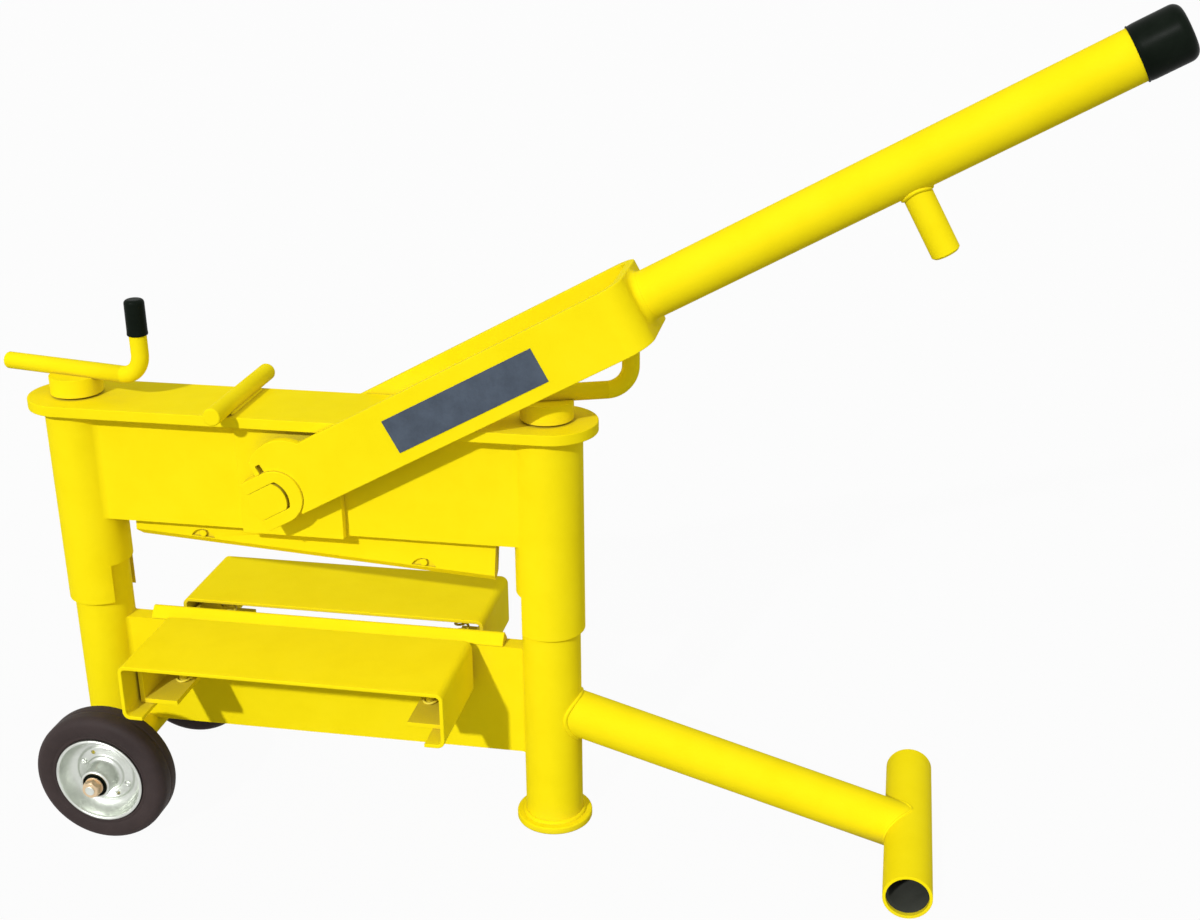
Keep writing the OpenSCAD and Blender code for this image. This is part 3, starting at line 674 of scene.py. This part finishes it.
def tyre(label, side):
    """Solid rubber tyre: rounded shoulders, a moulding line and a ribbed bead."""
    shoulder = 9.5
    flank = TYRE_HALF
    right = [(RIM_R, flank - 6.5), (RIM_R + 0.4, flank - 2.6), (RIM_R + 1.8, flank - 1.6),
             (RIM_R + 3.6, flank - 1.2), (RIM_R + 4.4, flank - 1.7), (RIM_R + 5.2, flank - 1.2),
             (RIM_R + 9.0, flank - 0.4), (RIM_R + 12.5, flank - 0.05)]
    right += arc(TYRE_R - shoulder, flank - shoulder, shoulder, 80, 5, 10)
    right += [(TYRE_R - 0.02, 7.0), (TYRE_R, 4.0), (TYRE_R, 0.6), (TYRE_R - 0.35, 0.0)]
    left = [(r, -z) for r, z in reversed(right[:-1])]
    obj = lathe(f"{label}_tyre_skin", right + left, on_wheel(side), 160)
    finish_piece(obj, f"{label}_wheel", TYRE, [f"{label}_tyre"])


def hex_nut(name, radius, height, matrix):
    """A hexagon nut with its top corners turned off."""
    edge, fall = 0.92, 0.16  # in heights: where the flats end, and how much lower the corners do
    round_top, flat_top = 0.98, 0.80  # in widths across the flats
    count = 48
    turns = [2 * math.pi * i / count for i in range(count)]
    flat = radius * math.cos(math.pi / 6)
    sides = [flat / math.cos((a % (math.pi / 3)) - math.pi / 6) for a in turns]
    levels = [[(r, 0.0) for r in sides],
              [(r, height * (edge - fall * (r - flat) / (radius - flat))) for r in sides],
              [(min(r, flat * round_top), height) for r in sides],
              [(flat * flat_top, height) for r in sides]]
    verts = [(r * MM * math.cos(a), r * MM * math.sin(a), z * MM)
             for level in levels for a, (r, z) in zip(turns, level)]
    faces = []
    for low in range(0, len(verts) - count, count):
        for i in range(count):
            j = (i + 1) % count
            faces.append((low + i, low + j, low + count + j, low + count + i))
    faces.append(tuple(range(count)))
    faces.append(tuple(range(len(verts) - count, len(verts))))
    return mesh_object(name, verts, faces, matrix)


def pierce(obj, cutters):
    """Cuts round holes through a mesh object."""
    tool = join(f"{obj.name}_cut", cutters)
    cut = obj.modifiers.new("holes", "BOOLEAN")
    cut.operation = "DIFFERENCE"
    cut.object = tool
    cut.solver = "EXACT"
    graph = bpy.context.evaluated_depsgraph_get()
    done = bpy.data.meshes.new_from_object(obj.evaluated_get(graph))
    obj.modifiers.remove(cut)
    obj.data = done
    bpy.data.objects.remove(tool)


def rim(label, side):
    """Pressed steel rim: rolled flange, deep dish and stepped hub. Its rivets and seal are pieces too."""
    z = TYRE_HALF
    front = [(RIM_R - 0.2, z - 4.0), (RIM_R + 0.2, z - 2.0)] + arc(RIM_R - 1.4, z - 1.0, 1.8, 0, 165, 8)
    front += [(RIM_R - 3.4, z - 3.0), (RIM_R - 4.2, z - 6.5), (RIM_R - 5.8, z - 11.0)]
    front += [(RIM_R - 8.6, z - 15.0), (35.6, 1.2), (33.2, 0.3), (31.8, 0.5), (30.8, 1.5), (29.8, 2.4)]
    front += [(28.8, WEB_Z), (21.4, WEB_Z)]
    front += [(20.6, 3.2), (20.0, 4.6), (19.2, 5.2), (17.8, 5.6), (16.6, 6.8), (16.1, 9.0), (16.0, 14.0)]
    front += [(16.0, HUB_HALF - 2.4), (15.6, HUB_HALF - 1.0), (14.6, HUB_HALF - 0.2), (13.6, HUB_HALF - 0.2),
              (13.0, HUB_HALF - 0.8), (12.9, HUB_HALF - 3.4), (6.2, HUB_HALF - 3.6)]
    back = [(6.2, -HUB_HALF + 0.4), (14.6, -HUB_HALF + 0.2), (16.0, -HUB_HALF + 1.6), (16.1, -5.4)]
    back += [(21.0, -2.4), (33.0, -2.6), (38.0, -1.8), (40.6, -4.5), (41.6, 4.0 - z), (43.0, 1.0 - z)]
    back += [(RIM_R - 1.4, -0.4 - z), (RIM_R + 0.2, 1.4 - z), (RIM_R - 0.2, 4.0 - z)]
    obj = lathe(f"{label}_rim_skin", front + back, on_wheel(side), 128)
    drill = [(0.0, -8.0), (HOLE_R, -8.0), (HOLE_R, 8.0), (0.0, 8.0)]
    pierce(obj, [lathe("hole", drill, at_rivet(side, turn, 0.0), 32) for turn in HOLE_TURNS])
    finish_piece(obj, f"{label}_wheel", ZINC, [f"{label}_rim"])
    keep_creases(obj, 50)
    seal_shape = [(5.6, HUB_HALF - 5.0), (12.8, HUB_HALF - 5.0), (12.8, HUB_HALF - 2.2),
                  (11.6, HUB_HALF - 1.7), (7.0, HUB_HALF - 1.9), (5.6, HUB_HALF - 2.4)]
    seal = lathe(f"{label}_hub_seal", seal_shape, on_wheel(side), 64)
    finish_piece(seal, f"{label}_wheel", CAP)
    dome = [(0.0, -5.0), (2.2, -5.0), (2.4, 0.0), (3.5, 0.0), (3.5, 0.5), (3.1, 1.3),
            (2.3, 1.8), (1.5, 1.9), (1.1, 1.4), (0.9, 0.4), (0.0, 0.3)]
    domes = [lathe("rivet", dome, at_rivet(side, turn, WEB_Z), 40) for turn in RIVET_TURNS]
    rivets = join(f"{label}_rivets_skin", domes)
    finish_piece(rivets, f"{label}_wheel", ZINC, [f"{label}_rim_bolts"])


def at_rivet(side, turn, z):
    """A place on the rim's rivet circle. Turns are seen from the front of the machine."""
    around = Matrix.Rotation(math.radians(-turn * side), 4, "Z")
    return on_wheel(side) @ around @ Matrix.Translation((RIVET_R * MM, 0, z * MM))


def join(name, parts):
    """Several mesh objects as one."""
    bm = bmesh.new()
    for p in parts:
        bm.from_mesh(p.data)
        bpy.data.objects.remove(p)
    data = bpy.data.meshes.new(name)
    bm.to_mesh(data)
    bm.free()
    obj = bpy.data.objects.new(name, data)
    bpy.context.scene.collection.objects.link(obj)
    return obj


def axle_nuts():
    """Chamfered nut and round washer at each end of the axle."""
    face = abs(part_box("axle_nuts")[0].y) - (WASHER_T + NUT_T) * MM
    washer = [(5.2, 0.0), (9.6, 0.0), (9.9, 0.3), (9.9, WASHER_T - 0.3), (9.6, WASHER_T), (5.2, WASHER_T)]
    parts = []
    for label, side in SIDES:
        place = on_axle(side, face)
        on_washer = place @ Matrix.Translation((0, 0, WASHER_T * MM)) @ Matrix.Rotation(NUT_TURN, 4, "Z")
        parts.append(lathe(f"{label}_washer", washer, place, 64))
        parts.append(hex_nut(f"{label}_nut", NUT_R, NUT_T, on_washer))
    obj = join("axle_nuts_skin", parts)
    finish_piece(obj, "frame", COPPER, ["axle_nuts"])
    crisp(obj, 0.4 * MM, 25)


for label, side in SIDES:
    tyre(label, side)
    rim(label, side)
axle_nuts()

# ---------------------------------------------------------------- table springs

TURNS = 6.5
CLOSED_TURNS = 0.75
STEPS_A_TURN = 28
WIRE_R = 1.3 * MM


def table_spring(face, label):
    """A coil with closed ends."""
    low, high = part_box(f"{face}_{label}_spring")
    mid = (low + high) / 2
    r = (high.x - low.x) / 2 - WIRE_R
    height = high.z - low.z - 2 * WIRE_R
    count = int(TURNS * STEPS_A_TURN)
    points = []
    for i in range(count + 1):
        turn = TURNS * i / count
        rise = min(1.0, max(0.0, (turn - CLOSED_TURNS) / (TURNS - 2 * CLOSED_TURNS)))
        a = 2 * math.pi * turn
        z = low.z + WIRE_R + height * rise
        points.append(Vector((mid.x + r * math.cos(a), mid.y + r * math.sin(a), z)))
    obj = sweep(f"{face}_{label}_coil", points, WIRE_R)
    finish_piece(obj, "frame", SPRING, [f"{face}_{label}_spring"])
    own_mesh(obj)


for face, side in SIDES:
    for label in ("left", "right"):
        table_spring(face, label)

# ---------------------------------------------------------------- floor, light and camera

SKY_LEVEL = 0.44
SKY_LEAN = (0.14, -0.04, 0.18)
SUN_POWER = 2.32
SUN_AHEAD = (0.27, 1.0, -0.65)
SUN_WIDTH = math.radians(1.8)
FLOOR_SIZE = 30.0
FLOOR_COLOUR = (0.34, 0.34, 0.34)
FLOOR_GLOW = 0.96
CAMERA_PLACE = (0.32117, -1.428, 0.9785)
CAMERA_TURNS = (10.67, 21.31, -0.45)  # yaw, pitch and roll in degrees
CAMERA_LENS = 47.89


def only_seen(tree):
    """1 for camera, glossy and transmission rays, else 0."""
    path = tree.nodes.new("ShaderNodeLightPath")
    total = None
    for kind in ("Is Camera Ray", "Is Glossy Ray", "Is Transmission Ray"):
        if total is None:
            total = path.outputs[kind]
            continue
        m = tree.nodes.new("ShaderNodeMath")
        m.operation = "MAXIMUM"
        tree.links.new(total, m.inputs[0])
        tree.links.new(path.outputs[kind], m.inputs[1])
        total = m.outputs[0]
    return total


def backdrop():
    """A white world to the camera; as a light it is dimmer and leans to one side."""
    world = bpy.data.worlds.new("studio")
    world.use_nodes = True
    bpy.context.scene.world = world
    tree = world.node_tree
    light = tree.nodes["Background"]
    light.inputs["Color"].default_value = (1, 1, 1, 1)
    lean = tree.nodes.new("ShaderNodeVectorMath")
    lean.operation = "DOT_PRODUCT"
    lean.inputs[1].default_value = SKY_LEAN
    tree.links.new(tree.nodes.new("ShaderNodeTexCoord").outputs["Generated"], lean.inputs[0])
    level = tree.nodes.new("ShaderNodeMath")
    level.inputs[1].default_value = SKY_LEVEL
    tree.links.new(lean.outputs["Value"], level.inputs[0])
    tree.links.new(level.outputs[0], light.inputs["Strength"])
    seen = tree.nodes.new("ShaderNodeBackground")
    seen.inputs["Color"].default_value = (1, 1, 1, 1)
    mix = tree.nodes.new("ShaderNodeMixShader")
    tree.links.new(only_seen(tree), mix.inputs["Fac"])
    tree.links.new(light.outputs[0], mix.inputs[1])
    tree.links.new(seen.outputs[0], mix.inputs[2])
    tree.links.new(mix.outputs[0], tree.nodes["World Output"].inputs["Surface"])


def floor():
    """A floor that is white to the camera and grey to the light that it gives back."""
    size = FLOOR_SIZE
    corners = [(-size, -size, 0), (size, -size, 0), (size, size, 0), (-size, size, 0)]
    obj = mesh_object("studio_floor", corners, [(0, 1, 2, 3)])
    m, tree, shader = material("studio_floor", FLOOR_COLOUR, 0.9)
    glow = tree.nodes.new("ShaderNodeEmission")
    glow.inputs["Strength"].default_value = 1.0
    share = tree.nodes.new("ShaderNodeMath")
    share.operation = "MULTIPLY"
    share.inputs[1].default_value = FLOOR_GLOW
    mix = tree.nodes.new("ShaderNodeMixShader")
    tree.links.new(only_seen(tree), share.inputs[0])
    tree.links.new(share.outputs[0], mix.inputs["Fac"])
    tree.links.new(shader.outputs[0], mix.inputs[1])
    tree.links.new(glow.outputs[0], mix.inputs[2])
    tree.links.new(mix.outputs[0], tree.nodes["Material Output"].inputs["Surface"])
    obj.data.materials.append(m)


def sun():
    data = bpy.data.lights.new("key", "SUN")
    data.energy = SUN_POWER
    data.angle = SUN_WIDTH
    obj = bpy.data.objects.new("key", data)
    obj.matrix_world = Vector(SUN_AHEAD).to_track_quat("-Z", "Y").to_matrix().to_4x4()
    bpy.context.scene.collection.objects.link(obj)


def camera():
    """The main viewpoint, in the frame of the right-hand post's foot."""
    yaw, pitch, roll = (math.radians(a) for a in CAMERA_TURNS)
    ahead = Vector((-math.sin(yaw) * math.cos(pitch), math.cos(yaw) * math.cos(pitch), -math.sin(pitch)))
    level = Vector((math.cos(yaw), math.sin(yaw), 0))
    up = level.cross(ahead)
    right = level * math.cos(roll) + up * math.sin(roll)
    top = up * math.cos(roll) - level * math.sin(roll)
    data = bpy.data.cameras.new("camera")
    data.sensor_width = 36.0
    data.lens = CAMERA_LENS
    data.clip_end = 60
    obj = bpy.data.objects.new("camera", data)
    rot = Matrix((right, top, -ahead)).transposed().to_4x4()
    obj.matrix_world = Matrix.Translation(CAMERA_PLACE) @ rot
    bpy.context.scene.collection.objects.link(obj)
    bpy.context.scene.camera = obj


backdrop()
floor()
sun()
camera()
bpy.context.scene.view_settings.view_transform = "Standard"
